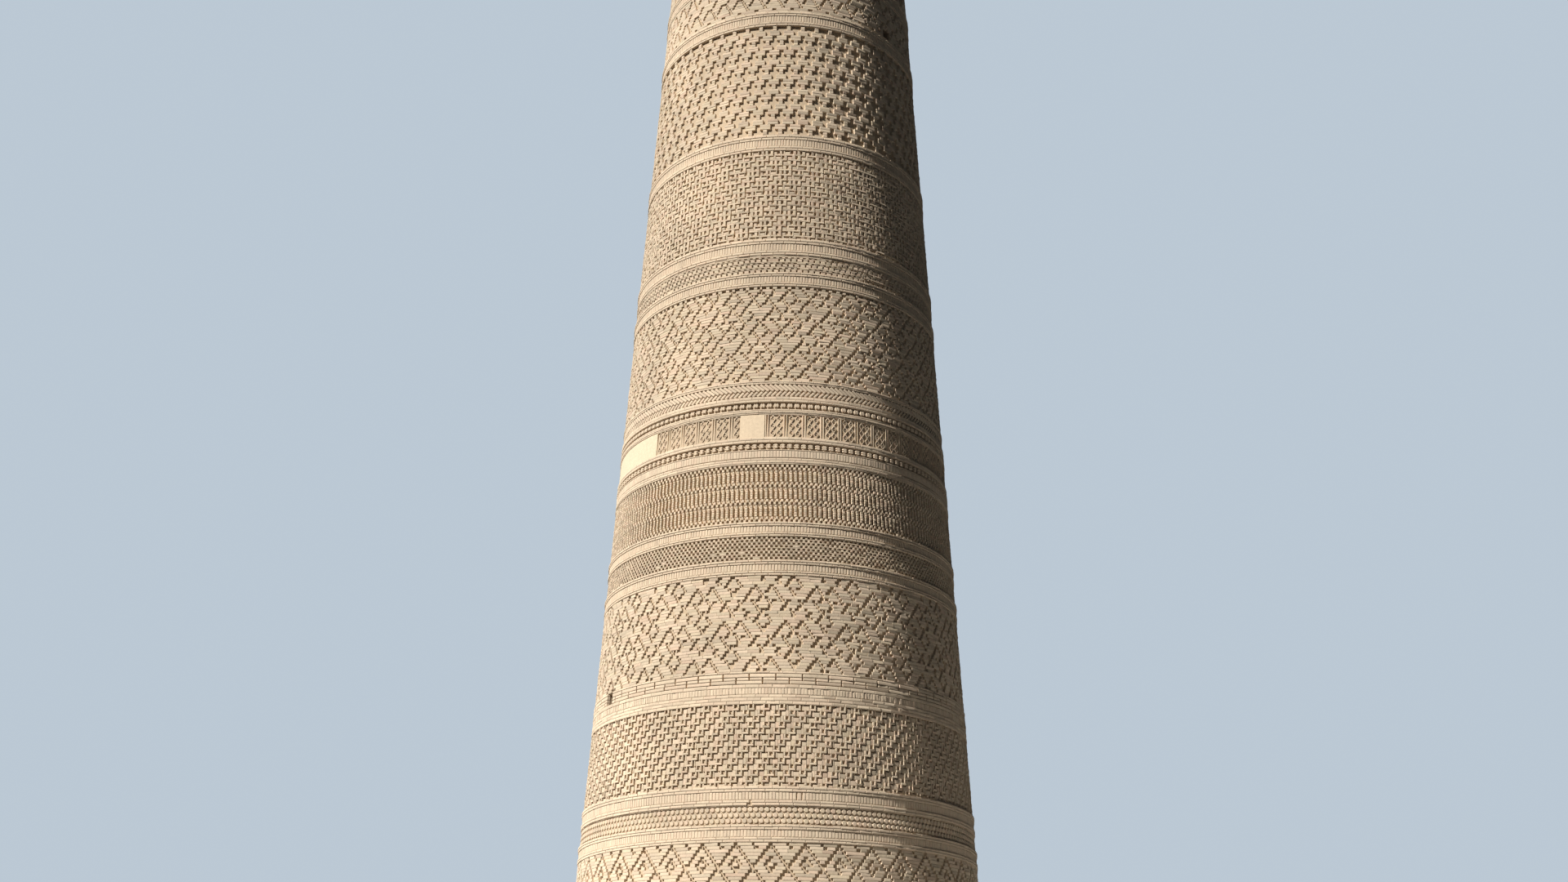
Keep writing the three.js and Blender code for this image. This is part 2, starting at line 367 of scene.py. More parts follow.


# Base drum: the round shaft starts here, in plain courses whose bricks are laid in pairs with an open
# slot between them. Behind the face of every ring of the shaft stands its core of rough brickwork,
# painted darker than the facing as shade in the recesses where it shows, and the doorway at the back
# is turned in bricks set on edge.
ground_radius = 2.2715
taper = 0.0545
hollow_radius = 0.725
relief = 0.021
core_sides = 120
# The core brick is painted darker than the facing bricks: painted shade in the recesses where the core
# shows.
core_brick_painted_shade = masonry("core_brick_painted_shade", [(0.60, 0.47, 0.33), (0.66, 0.53, 0.375)], grain=0.003, stain=0.2)
drum_pairs = 52
drum_slot = 0.42
door_spring = 0.925
door_rise = 0.25
door_edge_wide, door_edge_deep, door_edge_thick, door_edge_steps = 0.062, 0.16, 0.034, 13


def shaft_radius(height):
    return ground_radius - taper * height


def ring_heights(node):
    low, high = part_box(node)
    return low.z, high.z


def closed_shape(corners, faces):
    """A bmesh with these corners and faces, its faces turned outwards."""
    shape = bmesh.new()
    points = [shape.verts.new(corner) for corner in corners]
    for face in faces:
        shape.faces.new([points[index] for index in face])
    bmesh.ops.recalc_face_normals(shape, faces=shape.faces)
    return shape


def core_ring(name, outline):
    """A closed ring of rough brickwork, from (radius, height) points given round it as a clock turns."""
    turns = np.radians(np.arange(core_sides) * 360 / core_sides)
    corners = [(radius * math.sin(turn), -radius * math.cos(turn), height)
               for turn in turns for radius, height in outline]
    count = len(outline)
    faces = []
    for side in range(core_sides):
        here, there = side * count, (side + 1) % core_sides * count
        for index in range(count):
            after = (index + 1) % count
            faces.append((here + index, here + after, there + after, there + index))
    # The core's darker brick paints shade into the recesses between the facing bricks.
    ring = as_object(name, closed_shape(corners, faces), core_brick_painted_shade)
    ring.data.attributes.new("tone", "FLOAT", "POINT").data.foreach_set("value", np.full(len(corners), 0.5))
    return ring


def dress(node, facings, sunk=relief, opening=None, outline=None):
    """Puts facings and a rough core, its face sunk under theirs, in place of a ring's plain solid."""
    low, high = ring_heights(node)
    piece = core_ring(node + "_dressed", outline or [
        (hollow_radius, low), (hollow_radius, high),
        (shaft_radius(high) - sunk, high), (shaft_radius(low) - sunk, low)])
    if opening:
        modifier = piece.modifiers.new("cut", "BOOLEAN")
        modifier.object = opening
        modifier.solver = "EXACT"
        baked(piece)
        bpy.data.objects.remove(opening)
    for item in bpy.context.selected_objects:
        item.select_set(False)
    for part in [piece] + facings:
        part.select_set(True)
    bpy.context.view_layer.objects.active = piece
    bpy.ops.object.join()
    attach(piece, "root")
    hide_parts(node)


def standing_runs(gaps, start=0.0):
    """The stretches of a whole turn, in degrees, that a list of (from, to) gaps leaves standing."""
    if not gaps:
        return [(start, start + 360.0)]
    spans = sorted(((low % 360.0, low % 360.0 + high - low) for low, high in gaps))
    merged = [list(spans[0])]
    for low, high in spans[1:]:
        if low <= merged[-1][1] + 0.02:
            merged[-1][1] = max(merged[-1][1], high)
        else:
            merged.append([low, high])
    if merged[-1][1] - 360 > merged[0][0] and len(merged) > 1:
        merged[0][0] = merged[-1][0] - 360
        merged[0][1] = max(merged[0][1], merged[-1][1] - 360)
        merged.pop()
    ends = [low for low, _ in merged[1:]] + [merged[0][0] + 360]
    return [(high, end) for (_, high), end in zip(merged, ends) if end - high > 0.05]


def even_gaps(count, width, start=0.0):
    """Gaps of one width at even steps round the wall, in degrees. The first begins at start."""
    return [(start + index * 360 / count, start + index * 360 / count + width) for index in range(count)]


def course_bricks(low, high, gaps=(), proud=0.0, depth=relief + 0.006, start=0.0, long=brick_length,
                  face=None):
    """One round course: its standing runs, each cut into equal bricks of about the usual length."""
    face = face or shaft_radius((low + high) / 2) + proud
    found = []
    for begin, end in standing_runs(gaps, start):
        count = max(1, round(math.radians(end - begin) * face / long))
        each = (end - begin) / count
        width = 2 * face * math.sin(math.radians(each / 2))
        for index in range(count):
            turn = math.radians(begin + (index + 0.5) * each)
            found.append(brick_at(turn, face, (low + high) / 2, width, depth, high - low))
    return found


def base_drum_bricks(low, high):
    """The drum's courses, which stop at the edging of the doorway."""
    courses = round((high - low) / course_height)
    each = (high - low) / courses
    found = []
    for course in range(courses):
        foot = low + course * each
        gaps = even_gaps(drum_pairs, drum_slot, 180 / drum_pairs if course // 2 % 2 else 0)
        height = foot + each / 2
        if height < door_spring + door_rise + door_edge_wide:
            half = door_half + door_edge_wide
            if height > door_spring:
                rise = (height - door_spring) / (door_rise + door_edge_wide)
                half *= math.sqrt(max(0.0, 1 - rise ** 1.6))
            wide = math.degrees(math.asin(half / shaft_radius(foot)))
            gaps.append((180 - wide, 180 + wide))
        found += course_bricks(foot, foot + each, gaps)
    return found


def door_reach(height):
    """Half the doorway's width at a height, which narrows to a point over its spring."""
    if height <= door_spring:
        return door_half
    part = min(1.0, (height - door_spring) / door_rise)
    return door_half * math.sqrt(1 - part) * (1 + 0.25 * part)


def doorway_cutter():
    """A prism with the doorway's pointed outline, through the back of the wall."""
    steps = 8
    heights = [door_floor] + [door_spring + door_rise * index / steps for index in range(steps + 1)]
    side = [(door_reach(height), height) for height in heights]
    outline = side[::-1] + [(-x, z) for x, z in side[:-1]]
    count = len(outline)
    corners = [(x, y, z) for y in (3.0, hollow_radius * 0.5) for x, z in outline]
    faces = [range(count), range(2 * count - 1, count - 1, -1)]
    for index in range(count):
        after = (index + 1) % count
        faces.append((index, count + index, count + after, after))
    return as_object("doorway", closed_shape(corners, faces))


def door_edge_bricks(low):
    """Bricks set on edge round the doorway, up its sides and over its pointed head."""
    path = []
    height = low + door_edge_thick / 2
    while height < door_spring:
        path.append((door_half + door_edge_wide / 2, height, 0.0))
        height += door_edge_thick
    for index in range(door_edge_steps):
        part = (index + 0.5) / door_edge_steps
        height = door_spring + door_rise * part
        slope = math.atan2(door_rise, door_half) * (0.25 + 0.75 * part)
        path.append((door_reach(height) + door_edge_wide / 2 * math.cos(slope),
                     height + door_edge_wide / 2 * math.sin(slope), slope))
    found = []
    for x, z, slope in path:
        face = math.sqrt(shaft_radius(z) ** 2 - x * x) + 0.004
        for side in (-1, 1):
            found.append(brick_at(math.pi, face, z, door_edge_wide, door_edge_deep, door_edge_thick,
                                  side * slope, -side * x))
    return found


low, high = ring_heights("base_drum")
face = laid("base_drum_face", base_drum_bricks(low, high), wall_brick, seed=5)
door_edge = laid("door_edge", door_edge_bricks(low), pale_brick, seed=6)
dress("base_drum", [face, door_edge], opening=doorway_cutter())


# String courses: between the patterned bands runs a plain moulding of thin flat courses with a row of
# bricks stood on end, in paler rubbed brick, a finger's breadth proud of the wall, the top one most.
# The third has a chipped lower edge, and one of its bricks on end stands loose between open joints.
string_proud = 0.0075
string_depth = 0.03
string_flat_share = 0.145
soldier_width = 0.0325
soldier_depth = 0.018
string_joint = 0.0034
pointed_joint = 0.0022
worn_string = 3
chips = {0: (-8.3, -6.9), 1: (-7.6, -7.1)}
loose_sides = [(4.7, 5.0), (6.1, 6.4)]


def string_bricks(low, high, worn):
    """Two flat courses, the bricks on end, and two more flat courses, the uppermost overhanging."""
    thin = (high - low) * string_flat_share
    found = []
    levels = [(low, 0.000), (low + thin, 0.002), (high - 2 * thin, 0.004), (high - thin, 0.008)]
    for number, (foot, extra) in enumerate(levels):
        gaps = [chips[number]] if worn and number in chips else []
        found += course_bricks(foot, foot + thin, gaps, string_proud + extra, string_depth, number * 1.9)
    found += course_bricks(low + 2 * thin, high - 2 * thin, loose_sides if worn else [],
                           string_proud - 0.0035, soldier_depth, long=soldier_width)
    return found


for number in range(1, 12):
    node = f"string_course_{number}"
    worn = number == worn_string
    face = laid(node + "_face", string_bricks(*ring_heights(node), worn), pale_brick, seed=20 + number,
                unevenness=0.0007, gap=string_joint if number > worn_string else pointed_joint)
    dress(node, [face], 0.004 if worn else -0.001)


# Lozenge band: one-course holes left between the bricks climb both ways in steps, and cross to draw
# large lozenges with a small one nested in the middle of each.
hole_width = 0.046
hole_lead = 0.013
stair_relief = 0.0155
wear_dice = np.random.default_rng(2)


def ragged(turn, radius, by=0.005):
    """A turn in degrees, moved a little by chance as a worn edge of brick is."""
    return turn + math.degrees(wear_dice.uniform(-by, by) / radius)


def holes_to_gaps(holes, courses, radius, wide):
    """The gaps of each course, from holes that are each a course, a turn and a share of the usual width.

    Where two holes run into each other, the second one is left out."""
    gaps = [[] for _ in range(courses)]
    lead = math.degrees(hole_lead / radius)
    for course, turn, share in sorted(set(holes)):
        reach = math.degrees((share * wide - hole_lead) / radius)
        if 0 <= course < courses and not (gaps[course] and turn - lead < gaps[course][-1][1]):
            gaps[course].append((ragged(turn - lead, radius), ragged(turn + reach, radius)))
    return gaps


def lozenge(course, turn, reach, step):
    """Holes round a lozenge that reaches some courses up and down from its middle."""
    return [(course + rise, turn + lean * (reach - abs(rise)) * step, 1.0)
            for rise in range(-reach, reach + 1) for lean in (-1, 1)]


def patterned(node, holes, seed, courses, deep=stair_relief, wide=hole_width, gap=joint,
              through=lambda height: [], opening=None):
    """A band of level courses with holes left in it, on its core."""
    low, high = ring_heights(node)
    each = (high - low) / courses
    gaps = holes_to_gaps(holes, courses, shaft_radius((low + high) / 2), wide)
    bricks = []
    for course in range(courses):
        foot = low + course * each
        bricks += course_bricks(foot, foot + each, gaps[course] + through(foot + each / 2),
                                start=course * 3.7, depth=deep + 0.006)
    dress(node, [laid(node + "_face", bricks, wall_brick, seed, gap=gap)], deep, opening=opening)


lozenges = 40
lozenge_pitch = 360 / lozenges
lozenge_courses = 32
lozenge_step = 0.66
lozenge_top = lozenge_courses - 1
lozenge_first = -2.0
lozenge_shares = {-1: 1.0, 1: 0.85}
nested_reach, nested_step = 2, 0.62
lozenge_holes = []
for index in range(lozenges):
    apex = lozenge_first + index * lozenge_pitch
    for fall in range(lozenge_courses):
        for lean, share in lozenge_shares.items():
            lozenge_holes.append((lozenge_top - fall, apex + lean * fall * lozenge_step, share))
    between = apex + lozenge_pitch / 2
    lozenge_holes += [(lozenge_top, between + 0.1, 0.7), (lozenge_top - 1, between + 0.8, 0.9)]
    for tier in range(3):
        shift = lozenge_pitch / 2 if tier % 2 else 0
        lozenge_holes += lozenge(lozenge_top - 6 - tier * 13, apex + shift, nested_reach, nested_step)
patterned("lozenge_band", lozenge_holes, 31, lozenge_courses, deep=0.018, wide=0.043)


# Scale band: three staggered rows of flat-faced studs with rounded corners, rubbed from brick. They
# are set edge to edge in a shallow bed of mortar, between two thin courses.
def stud_tree():
    """Sets one flat-faced stud with rounded corners on each point."""
    tree, given = tree_with("set_studs")
    stud = add_node(tree, "GeometryNodeMeshCylinder", {
        "Vertices": 8, "Side Segments": 2, "Radius": 0.54, "Depth": 1.0})
    upright = add_node(tree, "GeometryNodeTransform", {
        "Geometry": stud, "Rotation": (math.pi / 2, math.radians(22.5), 0)})
    place = add_node(tree, "GeometryNodeInputPosition")
    parts = add_node(tree, "ShaderNodeSeparateXYZ", {0: place}).outputs
    drawn = map_range(tree, parts["Y"], -0.5, -0.2, 0.70, 1.0)
    rounded = add_node(tree, "ShaderNodeCombineXYZ", {
        "X": reckon(tree, "MULTIPLY", parts["X"], drawn),
        "Y": map_range(tree, parts["Y"], -0.5, 0.0, -0.5, -0.2),
        "Z": reckon(tree, "MULTIPLY", parts["Z"], drawn)})
    shape = add_node(tree, "GeometryNodeSetPosition", {"Geometry": upright, "Position": rounded})
    return finish_tree(tree, given, on_points(tree, given, shape)[0])


stud_setting = stud_tree()
stud_depth = 0.05


def stud_row(height, count, wide, tall, start=0.0, proud=0.0):
    """A round row of studs whose heads reach the wall's face."""
    return [brick_at(math.radians(start + index * 360 / count), shaft_radius(height) + proud, height,
                     wide, stud_depth, tall) for index in range(count)]


low, high = ring_heights("scale_band")
scale_count = 245
scale_rows = 3
scale_edge = 0.008
scale_bed = 0.012
scale_rise = (high - low - 2 * scale_edge) / scale_rows
scale_pitch = 2 * math.pi * shaft_radius(low) / scale_count
scale_studs = []
for row in range(scale_rows):
    scale_studs += stud_row(low + scale_edge + (row + 0.5) * scale_rise, scale_count,
                            scale_pitch * 0.95, scale_rise * 0.98, row * 180 / scale_count)
studs = grown("scale_band_studs", stud_setting, scale_studs, wall_brick, 41)
edges = course_bricks(low, low + scale_edge, depth=0.03) + course_bricks(high - scale_edge, high, depth=0.03)
edges = laid("scale_band_edges", edges, pale_brick, seed=42)
dress("scale_band", [studs, edges], scale_bed)


# Hooked band: rows two courses high, cut by thin upright slots. One slot in each repeat steps a brick
# to the left from row to row and joins into a stair, and a short hook stands beside it. The stairs
# break off along slanting lines and start again beyond them.
low, high = ring_heights("hooked_band")
slot_wide, hook_wide, leg_wide = 0.015, 0.030, 0.017
field_proud = -0.007
lid_drop = 0.014
hook_reach = 0.64
hooked_rise = 0.0589
hooked_repeats = 84
hooked_period = 360 / hooked_repeats
hooked_cell = hooked_period / 3
hooked_start = -28.2
hooked_scale = math.degrees(1 / shaft_radius((low + high) / 2))
break_spacing = 20.0
break_start = -20.5


def block(low, high, begin, end, proud=0.0):
    """One block of brick on a stretch of a row, from one turn to another in degrees."""
    face = shaft_radius((low + high) / 2) + proud
    begin, end = ragged(begin, face, 0.002), ragged(end, face, 0.002)
    width = 2 * face * math.sin(math.radians((end - begin) / 2))
    return brick_at(math.radians((begin + end) / 2), face, (low + high) / 2, width,
                    relief + 0.005 + proud, high - low)


def block_under_lids(low, high, begin, end, lids, proud=0.0, drop=lid_drop):
    """A plain block, lowered along the stretches where a level slot runs over it."""
    cuts = [begin, end]
    for left, right in lids:
        shift = 360 * round((begin - left) / 360)
        cuts += [turn + shift for turn in (left, right) if begin < turn + shift < end]
    cuts.sort()
    found = []
    for left, right in zip(cuts, cuts[1:]):
        middle = (left + right) / 2
        under = any((middle - a) % 360 < b - a for a, b in lids)
        if right - left > 0.1:
            found.append(block(low, high - drop if under else high, left, right, proud))
    return found


def hooked_motif(slot):
    """Left of a slot, the turns where its block begins, its hook's hole begins and ends, and it ends."""
    right = slot - slot_wide / 2 * hooked_scale
    hole_right = right - leg_wide * hooked_scale
    hole_left = hole_right - hook_wide * hooked_scale
    return hole_left - leg_wide * hooked_scale, hole_left, hole_right, right


def hooked_row(low, high, motifs, lids):
    """A row of plain blocks between hooked motifs that stand a little proud of them.

    Motifs are the turns of the slots on their right, and lids the (from, to) of level slots."""
    foot = high - (high - low) * hook_reach
    motifs = sorted(turn % 360 for turn in motifs)
    found = []
    for slot, following in zip(motifs, motifs[1:] + [motifs[0] + 360]):
        left, hole_left, hole_right, right = hooked_motif(slot)
        found += [block(low, foot, left, right), block(foot, high, left, hole_left),
                  block(foot, high, hole_right, right)]
        begin, end = slot + slot_wide / 2 * hooked_scale, hooked_motif(following)[0] - 0.02
        if end - begin > 0.15:
            found += block_under_lids(low, high, begin, end, lids, field_proud)
    return found


hooked_bricks = []
for row in range(math.ceil((high - low) / hooked_rise - 0.05)):
    head = high - row * hooked_rise
    stairs, lids = [], []
    for index in range(hooked_repeats):
        stair = hooked_start - row * hooked_cell + index * hooked_period
        stairs.append(stair)
        from_break = (stair - break_start - row * hooked_cell) % break_spacing
        if from_break < 2 * hooked_period:
            lids.append((stair + hooked_cell * 0.45, stair + hooked_cell * 1.6))
        else:
            lids.append((stair, stair + hooked_cell))
    hooked_bricks += hooked_row(max(head - hooked_rise, low), head, stairs, lids)
dress("hooked_band", [laid("hooked_band_face", hooked_bricks, wall_brick, seed=51)])


# Key course: three flat courses, bricks on end and another flat course carry a low frieze of long
# bricks, parted by level joints and a staggered line of short upright slots. A narrow light slit
# opens through it on the left.
def slit_gap(turn, width, low, high, height):
    """The gap that a light slit leaves in a course, or none above and below it."""
    if not low < height < high:
        return []
    half = math.degrees(math.asin(width / 2 / shaft_radius(height)))
    return [(turn - half, turn + half)]


def slit_cutter(turn, width, low, high):
    """A box through one side of the wall."""
    shape = bmesh.new()
    bmesh.ops.create_cube(shape, size=1)
    near, far = hollow_radius * 0.5, ground_radius + 0.5
    bmesh.ops.scale(shape, verts=shape.verts, vec=(width, far - near, high - low))
    bmesh.ops.translate(shape, verts=shape.verts, vec=(0, -(near + far) / 2, (low + high) / 2))
    bmesh.ops.rotate(shape, verts=shape.verts, matrix=Matrix.Rotation(math.radians(turn), 3, "Z"))
    return as_object("slit", shape)


slit_width = 0.13
lower_slit = (-61, slit_width, 4.715, 4.83)
low, high = ring_heights("key_course")
key_repeats = 48
key_slot = 0.34
key_brick = 0.25
lower_slots = even_gaps(key_repeats, key_slot, -35.0)
upper_slots = even_gaps(key_repeats, key_slot, -38.8)
key_levels = [
    (0.000, 0.032, [], 0.0, brick_length),
    (0.033, 0.065, [], 0.0, brick_length),
    (0.066, 0.097, [], 0.0, brick_length),
    (0.099, 0.161, [], -0.001, soldier_width),
    (0.163, 0.198, [], 0.002, brick_length),
    (0.203, 0.235, lower_slots, 0.0, key_brick),
    (0.239, 0.267, lower_slots + upper_slots, 0.0, key_brick),
    (0.271, 0.306, upper_slots, 0.0, key_brick),
    (0.310, 0.330, [], 0.0, brick_length),
]
key_bricks = []
for number, (foot, head, gaps, extra, long) in enumerate(key_levels):
    gaps = gaps + slit_gap(*lower_slit, low + (foot + head) / 2)
    key_bricks += course_bricks(low + foot, low + head, gaps, 0.003 + extra, start=number * 2.3, long=long)
face = laid("key_course_face", key_bricks, pale_brick, seed=61)
dress("key_course", [face], relief * 0.8, slit_cutter(*lower_slit))


# Stepped band: short stairs of holes between the bricks lean both ways about an invisible net, with
# small crosses between them. Every other row of the figure is set half a repeat along.
lean_shares = {1: 1.0, -1: 0.68}


def climb(turn, course, count, step, lean):
    """Holes that climb a course at a time about a middle, to the right, or to the left if lean is -1."""
    return [(course + index - count // 2, turn + lean * (index - count // 2) * step, lean_shares[lean])
            for index in range(count)]


def figure(repeats, period, first, base, strokes, step, mirror, crosses=()):
    """Holes of a stair figure, repeated round the tower, with half-shifted copies above and below.

    Strokes are (turn, course, steps, lean) from the figure's origin, and each has a twin that leans the
    other way about the mirror's turn."""
    twins = [(2 * mirror - turn, course, steps, -lean) for turn, course, steps, lean in strokes]
    pitch = 360 / repeats
    holes = []
    for index in range(repeats):
        for tier in range(-2, 4):
            along = first + index * pitch + (pitch / 2 if tier % 2 else 0)
            level = base + tier * period // 2
            for turn, course, steps, lean in strokes + twins:
                holes += climb(along + turn, level + course, steps, step, lean)
            for turn, course in crosses:
                holes += lozenge(level + course, along + turn, 1, step)
    return holes


stepped_strokes = [
    (0.0, 0, 5, 1), (5.5, 1, 5, 1), (7.0, -3, 4, 1), (-6.8, -3, 4, 1), (-3.6, -5, 5, 1),
    (3.0, -2, 3, 1), (-4.0, 1, 3, 1), (3.3, -7, 5, 1)]
stepped_holes = figure(20, 24, -27.8, 25, stepped_strokes, 0.6, mirror=4.5, crosses=[(0.0, -7)])
patterned("stepped_band", stepped_holes, 71, 32, deep=0.017, wide=0.049)


# Lower dotted band: staggered rows of square holes, each row laid on a thin flat course that closes
# the holes from below. Here and there a hole is stopped with mortar.
stopped_share = 0.02
dot_dice = np.random.default_rng(8)


def dotted_row(low, high, count, width, start, stopped=stopped_share):
    """A course with even holes in it, a share of them stopped by chance."""
    gaps = [gap for gap in even_gaps(count, width, start - width / 2) if dot_dice.random() > stopped]
    return course_bricks(low, high, gaps)


low, high = ring_heights("dotted_band_lower")
dot_rows = 8
dot_count = 240
dot_width = 0.77
dot_joint = 0.0016
dot_relief = 0.0195
dot_strip_share = 0.3
dot_rise = (high - low) / dot_rows
dot_bricks = []
for row in range(dot_rows):
    foot = low + row * dot_rise
    bed = foot + dot_strip_share * dot_rise
    dot_bricks += course_bricks(foot, bed, start=row * 2.3)
    dot_bricks += dotted_row(bed, foot + dot_rise, dot_count, dot_width, row % 2 * 180 / dot_count)
face = laid("dotted_band_lower_face", dot_bricks, wall_brick, seed=81, unevenness=0.0016, gap=dot_joint)
dress("dotted_band_lower", [face], dot_relief)


# Reeded band: three tiers of upright reeds, like a comb, with two rows of staggered dots over and
# under each tier. The channels between the reeds are a finger wide at full size.
low, high = ring_heights("reeded_band")
reed_count = 235
reed_channel = 0.74
reed_foot, reed_gap = 0.0635, 0.004
reed_bricks_high = 5
reed_dot_width = 0.7
reed_dot_rise = 0.0305
tiers = 3
tier_rise = 0.1935
reed_bricks = []
for tier in range(tiers + 1):
    foot = low + tier * tier_rise
    for row in range(2):
        reed_bricks += dotted_row(foot + row * reed_dot_rise, foot + (row + 1) * reed_dot_rise, reed_count,
                                  reed_dot_width, row * 180 / reed_count, stopped=0.0)
    if tier < tiers:
        reeds = foot + reed_foot
        each = (foot + tier_rise - reed_gap - reeds) / reed_bricks_high
        for number in range(reed_bricks_high):
            reed_bricks += course_bricks(reeds + number * each, reeds + (number + 1) * each,
                                         even_gaps(reed_count, reed_channel))
face = laid("reeded_band_face", reed_bricks, wall_brick, seed=82, gap=0.002)
dress("reeded_band", [face], relief + 0.005)


# Bead course: flat courses and bricks on end under a row of round beads, closed by two broad courses.
# Each bead is rubbed from two bricks with a level joint between them.
def level_courses(low, levels):
    """Round courses over a height, each with its foot, head, how proud it is, and its first joint."""
    found = []
    for foot, head, proud, start in levels:
        found += course_bricks(low + foot, low + head, (), proud, start=start)
    return found


low, high = ring_heights("bead_course")
bead_count = 160
bead_size = 0.054
bead_half = 0.031
bead_off = 0.0115
bead_level = 0.203
bead_core = 0.018
bead_bricks = level_courses(low, [(0.000, 0.012, 0.004, 0.0), (0.013, 0.040, 0.008, 0.0),
                                  (0.041, 0.066, 0.008, 2.0)])
bead_bricks += course_bricks(low + 0.073, low + 0.148, proud=0.007, long=soldier_width)
bead_bricks += level_courses(low, [(0.151, 0.163, 0.010, 0.0), (0.245, 0.272, 0.009, 0.0),
                                   (0.273, 0.300, 0.011, 2.0)])
face = laid("bead_course_face", bead_bricks, pale_brick, seed=91, unevenness=0.0007)
halves = []
for side in (-1, 1):
    halves += stud_row(low + bead_level + side * bead_off, bead_count, bead_size, bead_half, proud=0.012)
beads = grown("bead_course_beads", stud_setting, halves, pale_brick, 92)
dress("bead_course", [face, beads], bead_core)


# Strapwork frieze: a band of thin raised brick straps. Upright bars stand in pairs, and between them
# two chains of small lozenges run from edge to edge, with a stud in each. Two lengths of it have been
# lost and made good with flush cream plaster.
patch_spans = {"plaster_patch_small": (-14, -6), "plaster_patch_large": (-80, -47)}
low, high = ring_heights("strapwork_frieze")
strap_repeats = 60
strap_pitch = 360 / strap_repeats
strap_edge = 0.012
strap_wide = 0.0115
strap_sunk = 0.0095
bar_shares = (0.06, 0.20)
chain_shares = (0.45, 0.80)
links_high = 3
link_half_wide = 0.026


def strap(turn, height, lean, wide, long):
    """One strap with its middle at a turn and a height, leaning to the right, or none on a patch."""
    radius = shaft_radius(height)
    reach = math.degrees((abs(math.sin(lean)) * long + math.cos(lean) * wide) / 2 / radius)
    for left, right in patch_spans.values():
        if (turn - reach - left) % 360 < right - left or (left - turn + reach) % 360 < 2 * reach:
            return []
    return [brick_at(math.radians(turn), radius, height, wide, strap_sunk + 0.004, long, lean)]


strap_foot, strap_head = low + strap_edge, high - strap_edge
link_half_high = (strap_head - strap_foot) / links_high / 2
link_lean = math.atan2(link_half_wide, link_half_high)
link_side = math.hypot(link_half_wide, link_half_high)
strap_bricks = []
for repeat in range(strap_repeats):
    for share in bar_shares:
        strap_bricks += strap((repeat + share) * strap_pitch, (strap_foot + strap_head) / 2, 0.0,
                              strap_wide, strap_head - strap_foot)
    for share in chain_shares:
        turn = (repeat + share) * strap_pitch
        for link in range(links_high):
            middle = strap_foot + (2 * link + 1) * link_half_high
            aside = math.degrees(link_half_wide / 2 / shaft_radius(middle))
            for side, rise in ((-1, 1), (1, 1), (-1, -1), (1, -1)):
                strap_bricks += strap(turn + side * aside, middle + rise * link_half_high / 2,
                                      -side * rise * link_lean, strap_wide * 0.8, link_side)
            strap_bricks += strap(turn, middle, math.pi / 4, strap_wide, strap_wide)
for foot, head in ((low, strap_foot - 0.001), (strap_head + 0.001, high)):
    strap_bricks += course_bricks(foot, head, list(patch_spans.values()), 0.002)
face = laid("strapwork_frieze_face", strap_bricks, wall_brick, seed=101, unevenness=0.0012, gap=0.001)
dress("strapwork_frieze", [face], strap_sunk)

plaster = masonry("cream_plaster", [(0.80, 0.655, 0.475), (0.82, 0.675, 0.495)], grain=0.0012, stain=0.05)
for name, (left, right) in patch_spans.items():
    steps = max(6, round((right - left) / 1.5))
    turns = np.radians(np.linspace(left, right, steps + 1))
    corners, faces = [], []
    for sunk, foot, head in ((relief, low, high), (-0.001, low + 0.001, high - 0.001)):
        for turn in turns:
            for height in (foot, head):
                reach = shaft_radius(height) - sunk
                corners.append((reach * math.sin(turn), -reach * math.cos(turn), height))
    ring = 2 * (steps + 1)
    for index in range(steps):
        inner, outer = 2 * index, ring + 2 * index
        faces += [(inner, inner + 1, inner + 3, inner + 2), (outer, outer + 2, outer + 3, outer + 1),
                  (inner, inner + 2, outer + 2, outer), (inner + 1, outer + 1, outer + 3, inner + 3)]
    faces += [(0, ring, ring + 1, 1), (ring - 2, ring - 1, 2 * ring - 1, 2 * ring - 2)]
    patch = as_object(name + "_skin", closed_shape(corners, faces), plaster)
    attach(patch, "root")
    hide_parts(name)


# Herringbone course: flat courses, a row of beads with upright joints and a flat course carry two rows
# of thin bricks that lean right and then left, under two closing courses. All are rubbed pale brick.
def leaning_row(low, high, lean, thick):
    """Bricks on end that all lean the same way between two heights."""
    middle = (low + high) / 2
    long = (high - low) / math.cos(lean) - thick * abs(math.tan(lean)) * 0.5
    return [brick_at(2 * math.pi * index / leaning_count, shaft_radius(middle), middle, thick, 0.03, long,
                     lean) for index in range(leaning_count)]


low, high = ring_heights("herringbone_course")
leaning_count = 230
herring_bricks = level_courses(low, [
    (0.000, 0.014, 0.006, 0.0), (0.015, 0.035, 0.010, 0.0), (0.036, 0.056, 0.008, 2.0),
    (0.139, 0.163, 0.010, 0.0), (0.165, 0.201, 0.008, 2.0), (0.352, 0.370, 0.004, 0.0),
    (0.371, 0.390, 0.008, 2.0)])
herring_bricks += leaning_row(low + 0.203, low + 0.266, math.radians(45), 0.027)
herring_bricks += leaning_row(low + 0.267, low + 0.350, math.radians(-52), 0.030)
face = laid("herringbone_course_face", herring_bricks, pale_brick, seed=111, unevenness=0.0008)
bead_height = low + 0.0975
bead_turn = math.degrees(bead_off / shaft_radius(bead_height))
halves = []
for side in (-1, 1):
    halves += stud_row(bead_height, bead_count, bead_half, bead_size, side * bead_turn, proud=0.010)
beads = grown("herringbone_course_beads", stud_setting, halves, pale_brick, 112)
dress("herringbone_course", [face, beads], bead_core)


